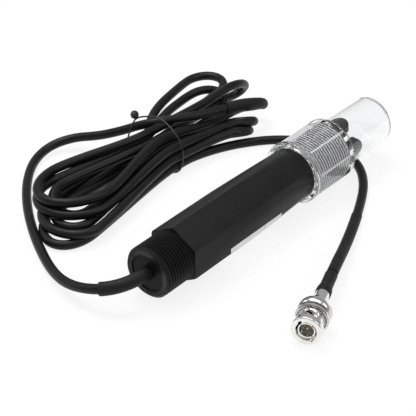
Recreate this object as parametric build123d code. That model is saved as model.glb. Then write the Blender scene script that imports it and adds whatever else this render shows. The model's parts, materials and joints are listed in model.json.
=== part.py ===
from build123d import *
import os
from math import asin, degrees, radians, sqrt, tan

# In-line pH electrode: threaded housing, clear screw cap, cable wound into a tied hank, bayonet plug.
# Millimetres. The electrode is built along X from its rear end face to the tip, then laid on the floor.

# Housing
THREAD_D = 26.67
THREAD_CHAMFER = 1.0
REAR_THREAD_L = 18.7
HEX_AF = 27.2
HEX_CHAMFER = 0.6
HEX_L = 43.3
FADE_L = 53.0
FRONT_STEP = 0.315
FRONT_THREAD_L = 25.4
GUARD_D = 22.6
NOSE_LAND = 2.035
GUARD_L = 16.6
PRONG_COUNT = 4
PRONG_W = 10.0
PRONG_ROOT_L = 2.4

# Inside of the housing
POTTING_BORE_D = 19.0
POTTING_L = 6.0
POTTING_RECESS = 0.5
CHAMBER_D = 20.4
CHAMBER_START = 20.0
BULKHEAD_L = 10.0
POCKET_L = 1.0
JUNCTION_W = 2.4
JUNCTION_L = 3.4
FEED_HOLE_D = 1.2
FEED_HOLE_COUNT = 6

# Glass electrode and what is in it
GLASS_D = 12.0
GLASS_WALL = 0.8
MEMBRANE_WALL = 0.5
BULB_SETBACK = 5.0
STEM_L = 104.0
O_RING_SECTION = 1.1
BUSH_FLANGE_L = 6.0
BUSH_SHANK_L = 6.0
WIRE_D = 0.8
WIRE_TIP_D = 1.8
WIRE_TIP_L = 12.0
REFERENCE_WIRE_OFFSET = 8.2
REFERENCE_WIRE_L = 62.0
WIRE_TAIL_L = 10.0
SIGNAL_LEAD_D = 1.8
SHIELD_LEAD_D = 1.4

# Protective cap
CAP_LIP_OVERLAP = 3.2
CAP_COLLAR_WALL = 3.0
CAP_COLLAR_L = 32.7
CAP_GUARD_GAP = 0.9
CAP_TUBE_L = 40.0
CAP_TUBE_WALL = 1.6
CAP_END_WALL = 1.8
CAP_END_ROUND = 3.6
CAP_COLLAR_ROUND = 2.2
CAP_LIP_ROUND = 1.0
CAP_THREAD_GAP = 0.32
CAP_LIP_GAP = 0.35
SEAL_L = 1.2
SEAL_GAP = 0.3

# Label
LABEL_START = 45.0
LABEL_L = 40.0
LABEL_T = 0.15
LABEL_UP_FLAT = 3.0
LABEL_EDGE_GAP = 0.7

# Cable
CABLE_D = 5.0
CABLE_INSET = 6.0
RELIEF_D = 6.8
RELIEF_INSET = 3.0
SLEEVE_WALL = 0.35
FIT_GAP = 0.05
ARC_SHARE = 0.45
LIE_GAP = 0.35
CROSSING_X = 163.0

# Hank and its tie
HANK_LEFT_H = 15.0
HANK_RIGHT_H = 19.0
HANK_WAIST_H = 24.0
HANK_WAIST_X = (-9.0, 11.0)
HANK_WAIST_Y = (60.0, 94.0)
HANK_WAIST_ROUND = 9.0
HANK_CORNER_ROUND = 7.0
HANK_TOP_ROUND = 4.0
TIE_X = 1.0
TIE_W = 1.6
TIE_T = 1.0
TIE_STALK_D = 2.0
TIE_STALK_L = 6.5
TIE_KNOB_D = 4.6
TIE_STALK_TILT = 20.0

# Plug, built along X from the rear of its boot to its front rim
PLUG_HEADING = 201.5
PLUG_FRONT = (-73.2, -77.7)
BOOT_L = 20.0
BOOT_WALL = 0.55
BOOT_GRIP_L = 5.0
BOOT_STEP_L = 1.6
FERRULE_SHOWN_L = 9.0
FERRULE_D = 6.8
FERRULE_AF = 6.3
FERRULE_ROUND_L = 1.2
FERRULE_OVER_CABLE_L = 2.0
NUT_RING_D = 16.2
NUT_RING_L = 8.0
NUT_NECK_D = 12.6
NUT_NECK_L = 5.4
NUT_RIM_D = 14.8
NUT_RIM_L = 4.0
NUT_BORE_D = 10.0
NUT_CAVITY_D = 12.2
NUT_LIP_L = 2.0
NUT_EDGE_ROUND = 0.7
LUG_SLOT_W = 2.4
LUG_SLOT_L = 8.6
LUG_SLOT_TURN = 52.0
LUG_GROOVE_DEPTH = 0.8
LUG_COUNT = 2
PLUG_BODY_D = 9.2
PLUG_BODY_REAR_L = 0.6
PLUG_FLANGE_D = 11.6
PLUG_FLANGE_L = 1.4
CRIMP_NECK_D = 5.6
NUT_RUN_GAP = 0.15
NUT_FLOAT = 0.4
WASHER_T = 0.5
SPRING_T = 0.6
SPRING_WAVE = 0.25
SPRING_WAVES = 3
GASKET_D = 10.6
GASKET_L = 1.2
CONTACT_D = 8.1
CONTACT_WALL = 0.55
CONTACT_SEAT_L = 2.6
CONTACT_SETBACK = 0.8
CONTACT_SLIT_W = 0.5
CONTACT_SLIT_L = 5.0
CONTACT_SLITS = 4
INSULATOR_SETBACK = 6.2
PIN_D = 1.36
PIN_REAR_D = 2.0
PIN_SETBACK = 2.2
BORE_START_L = 0.8

# Places along the electrode
hex_r = HEX_AF / sqrt(3)
fade_x = REAR_THREAD_L + HEX_L
body_end = fade_x + FADE_L
nose_x = body_end + FRONT_THREAD_L
tip_x = nose_x + GUARD_L
prong_root_x = nose_x + PRONG_ROOT_L
guard_r = GUARD_D / 2
front_thread_r = guard_r + NOSE_LAND
front_r = front_thread_r + FRONT_STEP
bulkhead_end = nose_x - POCKET_L
bulkhead_x = bulkhead_end - BULKHEAD_L
glass_r = GLASS_D / 2
stem_bore_r = glass_r + 3 * FIT_GAP
junction_r = stem_bore_r + JUNCTION_W
pocket_r = junction_r + FIT_GAP
seal_x = bulkhead_x + BULKHEAD_L / 2
bulb_x = tip_x - BULB_SETBACK
stem_x = bulb_x - STEM_L
cap_x = body_end - CAP_LIP_OVERLAP
collar_end = cap_x + CAP_COLLAR_L
cap_end = collar_end + CAP_TUBE_L
cap_bore_r = guard_r + CAP_GUARD_GAP
cap_tube_r = cap_bore_r + CAP_TUBE_WALL

# Places along the plug
nut_x = BOOT_L + FERRULE_SHOWN_L
ring_end = nut_x + NUT_RING_L
neck_end = ring_end + NUT_NECK_L
plug_l = neck_end + NUT_RIM_L
cavity_x = nut_x + NUT_LIP_L
washer_x = cavity_x + FIT_GAP
spring_x = washer_x + WASHER_T + NUT_FLOAT + FIT_GAP
flange_x = spring_x + SPRING_T
flange_end = flange_x + PLUG_FLANGE_L
insulator_end = plug_l - INSULATOR_SETBACK
body_d_clear = PLUG_BODY_D + 2 * NUT_RUN_GAP
insulator_d = CONTACT_D - 2 * CONTACT_WALL
crimp_x = BOOT_L - BOOT_GRIP_L
ferrule_x = crimp_x - FERRULE_OVER_CABLE_L

# The hexagon's lower corner stands on the floor and the cap's tube lies over the cable
lean = degrees(asin((cap_tube_r + CABLE_D + LIE_GAP - hex_r) / (CROSSING_X - REAR_THREAD_L)))

# Cable routes on the floor, chosen by eye; each starts or ends in the electrode, the hank or the plug
LEAD_POINTS = [
    (-109.5, 6.0, 13.3),
    (-114.2, 17.5, 10.2),
    (-113.2, 32.5, 6.2),
    (-107.5, 47.5, 3.6),
    (-98.5, 64.0, 2.6),
    (-86.5, 83.0, 2.5),
    (-71.0, 103.0, 2.5),
    (-53.5, 120.5, 2.5),
    (-37.0, 131.5, 2.8),
    (-22.5, 133.5, 4.5),
    (-11.0, 126.5, 7.0),
    (-5.0, 114.5, 9.5),
    (2.0, 103.5, 11.5),
    (10.5, 94.5, 13.0),
]
TAIL_POINTS = [
    (36.5, 62.5, 2.6),
    (50.5, 55.4, 2.5),
    (63.5, 45.6, 2.5),
    (73.0, 32.0, 2.5),
    (77.0, 16.5, 2.5),
    (75.5, 2.0, 2.5),
    (68.0, -10.5, 2.5),
    (55.0, -21.5, 2.5),
    (37.5, -31.0, 2.6),
    (17.5, -40.5, 3.3),
    (-4.0, -50.0, 5.2),
]
HANK_LEFT = [
    (0, 62),
    (-48, 57),
    (-72, 53),
    (-88, 56),
    (-91, 66),
    (-80, 84),
    (-64, 102),
    (-50, 112),
    (-40, 112),
    (0, 92),
]
HANK_RIGHT = [
    (0, 62),
    (40, 62),
    (60, 57),
    (76, 59),
    (85, 70),
    (89, 85),
    (89, 103),
    (79, 111),
    (60, 111),
    (0, 92),
]


def turned(*outline):
    """Solid turned about X from points of (place along X, radius)."""
    return revolve(make_face(Plane.XZ * Polyline(*outline, close=True)), Axis.X)


def rod(diameter, start, end):
    """Round bar along X."""
    return turned((start, 0), (end, 0), (end, diameter / 2), (start, diameter / 2))


def ring(outer_d, inner_d, start, end):
    """Round sleeve along X."""
    outer = outer_d / 2
    inner = inner_d / 2
    return turned((start, inner), (end, inner), (end, outer), (start, outer))


def hex_bar(across_flats, start, end):
    """Hexagonal bar along X with one corner up."""
    section = RegularPolygon(across_flats / sqrt(3), 6, rotation=30)
    return extrude(Plane.YZ.offset(start) * section, end - start)


def turned_round(outline, rounds):
    """Solid turned about X, with the outline's numbered corners rounded."""
    face = make_face(Plane.XZ * Polyline(*outline, close=True))
    corners = [(Vector(outline[i][0], 0, outline[i][1]), radius) for i, radius in rounds.items()]
    for corner, radius in corners:
        face = fillet(face.vertices().sort_by_distance(corner)[:1], radius)
    return revolve(face, Axis.X)


def body_skin(grow):
    """Hexagon whose corners fade into a round front, with its skin moved out by grow."""
    corner = hex_r + grow
    outline = turned(
        (REAR_THREAD_L, 0),
        (REAR_THREAD_L, corner - HEX_CHAMFER),
        (REAR_THREAD_L + HEX_CHAMFER, corner),
        (fade_x, corner),
        (body_end, front_r + grow),
        (body_end, 0),
    )
    return hex_bar(HEX_AF + 2 * grow, REAR_THREAD_L, body_end) & outline


def make_guard():
    """Ring with rounded prongs round the glass bulb."""
    tube = ring(GUARD_D, 2 * pocket_r, bulkhead_end, tip_x)
    root = ring(GUARD_D, 2 * pocket_r, bulkhead_end, prong_root_x)
    round_x = tip_x - PRONG_W / 2
    tab = Pos((bulkhead_end + round_x) / 2, 0) * Rectangle(round_x - bulkhead_end, PRONG_W)
    tab += Pos(round_x, 0) * Circle(PRONG_W / 2)
    prong = tube & extrude(tab, GUARD_D)
    prongs = [Rot(360 / PRONG_COUNT * i, 0, 0) * prong for i in range(PRONG_COUNT)]
    return root + prongs


def make_housing():
    """Moulded housing: pipe threads at their crests, hexagon, round front and tip guard."""
    thread_r = THREAD_D / 2
    rear = turned(
        (0, 0),
        (0, thread_r - THREAD_CHAMFER),
        (THREAD_CHAMFER, thread_r),
        (REAR_THREAD_L, thread_r),
        (REAR_THREAD_L, 0),
    )
    front = turned(
        (body_end, 0),
        (body_end, front_thread_r),
        (nose_x - THREAD_CHAMFER, front_thread_r),
        (nose_x, front_thread_r - THREAD_CHAMFER),
        (nose_x, 0),
    )
    shell = rear + body_skin(0) + front
    shell -= rod(POTTING_BORE_D, 0, CHAMBER_START)
    shell -= rod(CHAMBER_D, CHAMBER_START, bulkhead_x)
    shell -= rod(2 * stem_bore_r, bulkhead_x, bulkhead_end)
    shell -= rod(2 * (stem_bore_r + O_RING_SECTION), seal_x - O_RING_SECTION, seal_x + O_RING_SECTION)
    shell -= rod(2 * pocket_r, bulkhead_end, nose_x)
    feed_r = (stem_bore_r + O_RING_SECTION + pocket_r) / 2
    feed = Pos(0, 0, feed_r) * rod(FEED_HOLE_D, bulkhead_x, bulkhead_end)
    shell -= [Rot(360 / FEED_HOLE_COUNT * i, 0, 0) * feed for i in range(FEED_HOLE_COUNT)]
    return shell + make_guard()


def make_glass():
    """Glass stem, open at the rear, with a thin round membrane at the tip."""
    centre = bulb_x - glass_r
    outer = rod(GLASS_D, stem_x, centre) + Pos(centre, 0, 0) * Sphere(glass_r)
    inner_r = glass_r - GLASS_WALL
    inner_centre = centre + GLASS_WALL - MEMBRANE_WALL
    inner = rod(2 * inner_r, stem_x, inner_centre) + Pos(inner_centre, 0, 0) * Sphere(inner_r)
    return outer - inner


def make_inside():
    """Sealed pieces between the glass bulb and the cable."""
    bush_x = stem_x - BUSH_FLANGE_L
    wire_x = bush_x - WIRE_TAIL_L
    off = Pos(0, 0, REFERENCE_WIRE_OFFSET)
    shank_d = GLASS_D - 2 * GLASS_WALL - 2 * FIT_GAP
    bush = rod(CHAMBER_D - 2 * FIT_GAP, bush_x, stem_x) + rod(shank_d, stem_x, stem_x + BUSH_SHANK_L)
    hole = rod(WIRE_D + 2 * FIT_GAP, bush_x, stem_x + BUSH_SHANK_L)
    bush -= hole + off * hole
    wire_end = bulb_x - glass_r
    wire = rod(WIRE_D, wire_x, wire_end - WIRE_TIP_L) + rod(WIRE_TIP_D, wire_end - WIRE_TIP_L, wire_end)
    reference_end = stem_x + REFERENCE_WIRE_L
    reference = rod(WIRE_D, wire_x, reference_end - WIRE_TIP_L)
    reference += rod(WIRE_TIP_D, reference_end - WIRE_TIP_L, reference_end)
    start = CABLE_INSET
    side = SIGNAL_LEAD_D
    bend = [
        Vector(start, 0, side),
        Vector(start + (wire_x - start) / 3, 0, side),
        Vector(wire_x - (wire_x - start) / 3, 0, REFERENCE_WIRE_OFFSET),
        Vector(wire_x, 0, REFERENCE_WIRE_OFFSET),
    ]
    seal_r = glass_r + FIT_GAP + O_RING_SECTION / 2
    potting_d = POTTING_BORE_D - 2 * FIT_GAP
    return {
        "stem_bush": bush,
        "measuring_wire": wire,
        "reference_wire": off * reference,
        "signal_lead": rod(SIGNAL_LEAD_D, start, wire_x),
        "shield_lead": cord_tube(bend, bend_radii(bend), SHIELD_LEAD_D),
        "glass_seal": Pos(seal_x, 0, 0) * (Rot(0, 90, 0) * Torus(seal_r, O_RING_SECTION / 2)),
        "reference_junction": ring(2 * junction_r, 2 * stem_bore_r, bulkhead_end, bulkhead_end + JUNCTION_L),
        "rear_potting": ring(potting_d, RELIEF_D + 2 * FIT_GAP, POTTING_RECESS, POTTING_RECESS + POTTING_L),
    }


def make_cap():
    """Clear cap: plain lip, threaded collar at the roots of its thread, and a closed round tube."""
    lip_r = front_r + CAP_LIP_GAP
    collar_r = lip_r + CAP_COLLAR_WALL
    bore_r = front_thread_r + CAP_THREAD_GAP
    seat_x = nose_x + SEAL_L
    outline = [
        (cap_x, lip_r),
        (body_end - FIT_GAP, lip_r),
        (body_end + lip_r - bore_r, bore_r),
        (seat_x, bore_r),
        (seat_x, cap_bore_r),
        (cap_end - CAP_END_WALL, cap_bore_r),
        (cap_end - CAP_END_WALL, 0),
        (cap_end, 0),
        (cap_end, cap_tube_r),
        (collar_end, cap_tube_r),
        (collar_end, collar_r),
        (cap_x, collar_r),
    ]
    rounds = {
        5: CAP_END_ROUND - CAP_TUBE_WALL,
        8: CAP_END_ROUND,
        9: CAP_LIP_ROUND,
        10: CAP_COLLAR_ROUND,
        11: CAP_LIP_ROUND,
    }
    return turned_round(outline, rounds)


def make_label():
    """Thin bare label over the lower corner that faces the viewer."""
    skin = body_skin(LABEL_T) - body_skin(0)
    corner_z = -hex_r / 2
    patch = Rectangle(HEX_AF - 2 * LABEL_EDGE_GAP, HEX_AF)
    patch = Pos(-HEX_AF / 2, corner_z + LABEL_UP_FLAT - HEX_AF / 2) * patch
    return skin & extrude(Plane.YZ.offset(LABEL_START) * patch, LABEL_L)


def bend_radii(points):
    """Radius at each corner of a route, as large as its shorter run allows."""
    radii = []
    for before, corner, after in zip(points, points[1:], points[2:]):
        run_in = corner - before
        run_out = after - corner
        half_turn = radians(run_in.get_angle(run_out)) / 2
        radii.append(ARC_SHARE * min(run_in.length, run_out.length) / tan(half_turn))
    return radii


def cord_tube(points, radii, outer_d, inner_d=0.0):
    """Round tube or bar along straight runs joined by tangent arcs."""
    path = FilletPolyline(*points, radius=radii)
    section = Circle(outer_d / 2)
    if inner_d:
        section -= Circle(inner_d / 2)
    return sweep(Plane(path @ 0, z_dir=path % 0) * section, path)


def sleeve_on(points, radii, first_run, last_run, outer_d, start_share=0.5):
    """Sleeve round a cord from a place on one run to the middle of a later one."""
    start = points[first_run] + (points[first_run + 1] - points[first_run]) * start_share
    end = (points[last_run] + points[last_run + 1]) / 2
    route = [start] + points[first_run + 1 : last_run + 1] + [end]
    return cord_tube(route, radii[first_run:last_run], outer_d, CABLE_D + 2 * FIT_GAP)


def make_hank():
    """Outer shape of the wound cable: two lobes and the waist where the tie holds it."""
    left = make_face(Polyline(*HANK_LEFT, close=True))
    left = extrude(fillet(left.vertices(), HANK_CORNER_ROUND), HANK_LEFT_H)
    left = fillet(left.edges().group_by(Axis.Z)[-1], HANK_TOP_ROUND)
    right = make_face(Polyline(*HANK_RIGHT, close=True))
    right = extrude(fillet(right.vertices(), HANK_CORNER_ROUND), HANK_RIGHT_H)
    right = fillet(right.edges().group_by(Axis.Z)[-1], HANK_TOP_ROUND)
    start, end = HANK_WAIST_X
    waist = extrude(Plane.YZ.offset(start) * waist_section(0), end - start)
    low, high = HANK_WAIST_Y
    gap = Pos(TIE_X, (low + high) / 2, 0) * Box(TIE_W, 2 * (high - low), 2 * HANK_WAIST_H)
    return (left - gap) + (right - gap) + waist


def waist_section(grow):
    """Rounded section of the hank at its waist, moved out by grow."""
    low, high = HANK_WAIST_Y
    bottom = TIE_T + FIT_GAP
    height = HANK_WAIST_H - bottom
    section = RectangleRounded(high - low + 2 * grow, height + 2 * grow, HANK_WAIST_ROUND + grow)
    return Pos((low + high) / 2, bottom + height / 2) * section


def make_tie():
    """Twist tie round the waist, with a twisted stalk and a knob at its back."""
    band = waist_section(TIE_T) - waist_section(FIT_GAP)
    loop = extrude(Plane.YZ.offset(TIE_X - TIE_W / 2) * band, TIE_W)
    high = HANK_WAIST_Y[1]
    foot = Pos(TIE_X, high - HANK_WAIST_ROUND / 2, HANK_WAIST_H - FIT_GAP) * Rot(-TIE_STALK_TILT, 0, 0)
    stalk = foot * (Pos(0, 0, TIE_STALK_L / 2) * Cylinder(TIE_STALK_D / 2, TIE_STALK_L))
    knob = foot * (Pos(0, 0, TIE_STALK_L) * Sphere(TIE_KNOB_D / 2))
    return loop + stalk + knob


def make_coupling_nut():
    """Bayonet nut: plain ring, neck with two ramped lug slots, and a front rim with lug grooves."""
    bore_r = NUT_BORE_D / 2
    throat_x = flange_end + GASKET_L
    outline = [
        (nut_x, body_d_clear / 2),
        (cavity_x, body_d_clear / 2),
        (cavity_x, NUT_CAVITY_D / 2),
        (throat_x, NUT_CAVITY_D / 2),
        (throat_x + (NUT_CAVITY_D - NUT_BORE_D) / 2, bore_r),
        (plug_l, bore_r),
        (plug_l, NUT_RIM_D / 2),
        (neck_end, NUT_RIM_D / 2),
        (neck_end, NUT_NECK_D / 2),
        (ring_end, NUT_NECK_D / 2),
        (ring_end, NUT_RING_D / 2),
        (nut_x, NUT_RING_D / 2),
    ]
    rounds = {6: NUT_EDGE_ROUND, 7: NUT_EDGE_ROUND, 10: NUT_EDGE_ROUND, 11: NUT_EDGE_ROUND}
    nut = turned_round(outline, rounds)
    neck_x = (ring_end + neck_end) / 2
    ramp = Pos(neck_x, 0) * (Rot(0, 0, LUG_SLOT_TURN) * SlotOverall(LUG_SLOT_L, LUG_SLOT_W))
    ramp = extrude(ramp, NUT_RING_D) & rod(2 * NUT_RING_D, ring_end, neck_end)
    groove_l = plug_l - neck_x
    groove_r = bore_r + LUG_GROOVE_DEPTH
    groove = Box(groove_l, LUG_SLOT_W, groove_r, align=(Align.MIN, Align.CENTER, Align.MIN))
    groove = Rot(90 - LUG_SLOT_TURN, 0, 0) * (Pos(neck_x, 0, 0) * groove)
    for i in range(LUG_COUNT):
        nut -= Rot(360 / LUG_COUNT * i, 0, 0) * (ramp + groove)
    return nut


def make_spring_washer():
    """Wave washer under the nut, drawn pressed down to its working height."""
    wave_t = SPRING_T - SPRING_WAVE
    washer = ring(PLUG_FLANGE_D, body_d_clear, spring_x, spring_x + SPRING_T)
    for i in range(SPRING_WAVES):
        turn = 360 / SPRING_WAVES * i
        reach = PLUG_FLANGE_D
        width = reach * tan(radians(90 / SPRING_WAVES))
        wedge = make_face(Plane.YZ * Polyline((0, 0), (-width, reach), (width, reach), close=True))
        low = extrude(wedge, SPRING_WAVE)
        washer -= Rot(turn, 0, 0) * (Pos(spring_x, 0, 0) * low)
        washer -= Rot(turn + 180 / SPRING_WAVES, 0, 0) * (Pos(spring_x + wave_t, 0, 0) * low)
    return washer


def make_plug():
    """Bayonet plug from its boot to its centre pin."""
    body = rod(PLUG_BODY_D, nut_x - PLUG_BODY_REAR_L, flange_end) + rod(PLUG_FLANGE_D, flange_x, flange_end)
    body += rod(CRIMP_NECK_D, crimp_x, nut_x)
    body -= rod(insulator_d, nut_x + BORE_START_L, flange_end)
    body -= rod(CONTACT_D + 2 * FIT_GAP, flange_end - CONTACT_SEAT_L, flange_end)
    body -= rod(PIN_REAR_D + 2 * FIT_GAP, crimp_x, nut_x + BORE_START_L)
    contact = ring(CONTACT_D, insulator_d, flange_end - CONTACT_SEAT_L, plug_l - CONTACT_SETBACK)
    slit = Box(CONTACT_SLIT_L, CONTACT_SLIT_W, CONTACT_D, align=(Align.MAX, Align.CENTER, Align.MIN))
    slit = Pos(plug_l - CONTACT_SETBACK, 0, 0) * slit
    contact -= [Rot(360 / CONTACT_SLITS * (i + 0.5), 0, 0) * slit for i in range(CONTACT_SLITS)]
    pin_x = insulator_end - INSULATOR_SETBACK / 2
    pin = turned(
        (crimp_x, 0),
        (crimp_x, PIN_REAR_D / 2),
        (pin_x, PIN_REAR_D / 2),
        (pin_x, PIN_D / 2),
        (plug_l - PIN_SETBACK - PIN_D / 2, PIN_D / 2),
        (plug_l - PIN_SETBACK, PIN_D / 4),
        (plug_l - PIN_SETBACK, 0),
    )
    insulator = rod(insulator_d - 2 * FIT_GAP, nut_x + BORE_START_L, insulator_end)
    insulator -= rod(PIN_REAR_D + 2 * FIT_GAP, nut_x + BORE_START_L, pin_x + FIT_GAP)
    insulator -= rod(PIN_D + 2 * FIT_GAP, pin_x, insulator_end)
    ferrule_end = nut_x - PLUG_BODY_REAR_L
    ferrule = ring(FERRULE_D, CRIMP_NECK_D + 2 * FIT_GAP, ferrule_x, ferrule_end)
    crimp = rod(2 * FERRULE_D, BOOT_L + FERRULE_ROUND_L, ferrule_end - FERRULE_ROUND_L)
    ferrule -= crimp - hex_bar(FERRULE_AF, BOOT_L, nut_x)
    cable_r = CABLE_D / 2 + FIT_GAP
    grip_r = FERRULE_D / 2 + FIT_GAP
    boot = turned(
        (0, cable_r),
        (ferrule_x - BOOT_STEP_L, cable_r),
        (ferrule_x - FIT_GAP, grip_r),
        (BOOT_L, grip_r),
        (BOOT_L, grip_r + BOOT_WALL),
        (ferrule_x - FIT_GAP, grip_r + BOOT_WALL),
        (ferrule_x - BOOT_STEP_L, cable_r + BOOT_WALL),
        (0, cable_r + BOOT_WALL),
    )
    return {
        "plug_boot": boot,
        "crimp_ferrule": ferrule,
        "plug_body": body,
        "outer_contact": contact,
        "plug_insulator": insulator,
        "centre_pin": pin,
        "plug_gasket": ring(GASKET_D, CONTACT_D + 2 * FIT_GAP, flange_end, flange_end + GASKET_L),
        "spring_washer": make_spring_washer(),
        "thrust_washer": ring(NUT_CAVITY_D - 2 * NUT_RUN_GAP, body_d_clear, washer_x, washer_x + WASHER_T),
        "coupling_nut": make_coupling_nut(),
    }


def make_cable(rest, plug):
    """Free stretches of the cable, its hank, and what is on it."""
    inlet = [rest * Pos(x, 0, 0) for x in (CABLE_INSET, -CABLE_INSET)]
    lead = [place.position for place in inlet] + [Vector(*point) for point in LEAD_POINTS]
    outlet = [plug * Pos(x, 0, 0) for x in (-BOOT_L / 2, crimp_x)]
    tail = [Vector(*point) for point in TAIL_POINTS] + [place.position for place in outlet]
    lead_radii = bend_radii(lead)
    tail_radii = bend_radii(tail)
    print("lead radii", [round(radius, 1) for radius in lead_radii])
    print("tail radii", [round(radius, 1) for radius in tail_radii])
    relief_share = (CABLE_INSET - RELIEF_INSET) / (2 * CABLE_INSET)
    last_run = len(tail) - 3
    return {
        "cable_lead": cord_tube(lead, lead_radii, CABLE_D),
        "cable_tail": cord_tube(tail, tail_radii, CABLE_D),
        "strain_relief": sleeve_on(lead, lead_radii, 0, 2, RELIEF_D, relief_share),
        "marker_sleeve": sleeve_on(tail, tail_radii, last_run - 2, last_run, CABLE_D + 2 * SLEEVE_WALL),
        "cable_hank": make_hank(),
        "hank_tie": make_tie(),
    }


def make_electrode():
    """Pieces built along the electrode's own axis."""
    parts = {"housing": make_housing(), "glass_electrode": make_glass(), "label": make_label()}
    parts.update(make_inside())
    parts["protective_cap"] = make_cap()
    seal_d = 2 * (front_thread_r - SEAL_GAP)
    parts["cap_seal"] = ring(seal_d, GUARD_D + 2 * SEAL_GAP, nose_x, nose_x + SEAL_L)
    return parts


def main():
    """Lay the electrode on the floor, middle over the origin, and write every piece."""
    electrode = make_electrode()
    tip_up = Rot(0, -lean, 0)
    box = Compound([tip_up * electrode[name] for name in ("housing", "protective_cap")]).bounding_box()
    rest = Pos(-(box.min.X + box.max.X) / 2, 0, -box.min.Z) * tip_up
    heading = Rot(0, 0, PLUG_HEADING)
    front = Pos(PLUG_FRONT[0], PLUG_FRONT[1], NUT_RING_D / 2)
    plug = front * heading * Pos(-plug_l, 0, 0)
    parts = {name: rest * piece for name, piece in electrode.items()}
    parts.update({name: plug * piece for name, piece in make_plug().items()})
    parts.update(make_cable(rest, plug))
    os.makedirs("parts", exist_ok=True)
    for name, piece in parts.items():
        export_step(piece, f"parts/{name}.step")
    print("electrode origin", rest.position, "lean", lean, "plug rear", plug.position)


main()
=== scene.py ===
"""In-line pH electrode: threaded housing, clear screw cap, cable wound into a tied hank, bayonet plug.

Sizes are millimetres in each piece's own frame. A piece is scaled to metres when it is laid in place.
"""
import json
import logging
import math
from dataclasses import dataclass, field
from enum import Enum
from functools import cached_property

import bmesh
import bpy
from bmesh.types import BMEdge, BMesh, BMVert
from mathutils import Matrix, Vector

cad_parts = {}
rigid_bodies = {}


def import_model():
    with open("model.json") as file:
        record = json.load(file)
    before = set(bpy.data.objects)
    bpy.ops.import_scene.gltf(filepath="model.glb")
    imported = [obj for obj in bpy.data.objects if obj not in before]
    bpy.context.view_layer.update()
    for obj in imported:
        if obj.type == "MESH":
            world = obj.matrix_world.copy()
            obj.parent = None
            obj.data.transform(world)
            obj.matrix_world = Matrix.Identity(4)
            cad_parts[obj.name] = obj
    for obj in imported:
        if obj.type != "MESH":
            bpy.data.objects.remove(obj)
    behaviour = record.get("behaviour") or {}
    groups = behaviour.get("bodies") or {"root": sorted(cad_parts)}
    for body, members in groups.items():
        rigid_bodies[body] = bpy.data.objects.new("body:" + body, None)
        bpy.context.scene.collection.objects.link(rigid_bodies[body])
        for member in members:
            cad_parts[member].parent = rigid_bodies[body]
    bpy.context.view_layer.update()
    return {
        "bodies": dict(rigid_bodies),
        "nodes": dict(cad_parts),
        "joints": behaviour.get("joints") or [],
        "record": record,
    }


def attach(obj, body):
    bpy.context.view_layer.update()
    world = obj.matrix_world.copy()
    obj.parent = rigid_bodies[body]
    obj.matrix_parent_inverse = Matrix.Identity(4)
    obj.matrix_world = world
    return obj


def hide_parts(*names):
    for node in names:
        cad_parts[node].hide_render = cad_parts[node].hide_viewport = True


LOG = logging.getLogger("electrode")
MM = 0.001
INCH_MM = 25.4
FULL_TURN = 2 * math.pi
IMAGE_PX = 416
SENSOR_MM = 36.0
WHITE = (1.0, 1.0, 1.0, 1.0)

# Point attributes that the finishes read
# Painted highlight on the cap's thread crests and collar corners
PAINTED_HIGHLIGHT = "haze"
# Painted shade in the nut's groove and knurl valleys
PAINTED_SHADE = "shade"

# Colour sockets of a Mix node, whose names repeat
MIX_SHARE = 0
MIX_FIRST = 6
MIX_SECOND = 7
MIX_RESULT = 2

# Modelling
MERGE_MM = 0.001
ROUND_SEGMENTS = 6
SMOOTH_LIMIT = math.radians(28)
CURVE_STEPS = 8
SPLINE_ORDER = 3

# Places of mounts and sleeve ends on the electrode's and the plug's own X axes
REAR_MOUNT_X = 9.0
PLUG_MOUNT_X = 46.4
RELIEF_START_X = 3.0
MARKER_END_X = 0.5

Point = tuple[float, float, float]
Colour = tuple[float, float, float]
Corner = tuple[float, ...]
Stops = tuple[tuple[float, float], ...]


class Socket:
    """Output of a shader node; arithmetic on it adds Math nodes."""

    def __init__(self, shader: "Shader", socket: bpy.types.NodeSocket) -> None:
        """Wrap one output socket of a shader."""
        self.shader = shader
        self.socket = socket

    def _math(self, operation: str, first: object, second: object) -> "Socket":
        """Add a Math node with two operands."""
        return self.shader.node("ShaderNodeMath", {"operation": operation}, {0: first, 1: second})

    def __add__(self, other: object) -> "Socket":
        """Sum."""
        return self._math("ADD", self, other)

    __radd__ = __add__

    def __sub__(self, other: object) -> "Socket":
        """Difference."""
        return self._math("SUBTRACT", self, other)

    def __rsub__(self, other: object) -> "Socket":
        """Reflected difference."""
        return self._math("SUBTRACT", other, self)

    def __mul__(self, other: object) -> "Socket":
        """Product."""
        return self._math("MULTIPLY", self, other)

    __rmul__ = __mul__

    def larger(self, other: object) -> "Socket":
        """The larger of two values."""
        return self._math("MAXIMUM", self, other)


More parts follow.
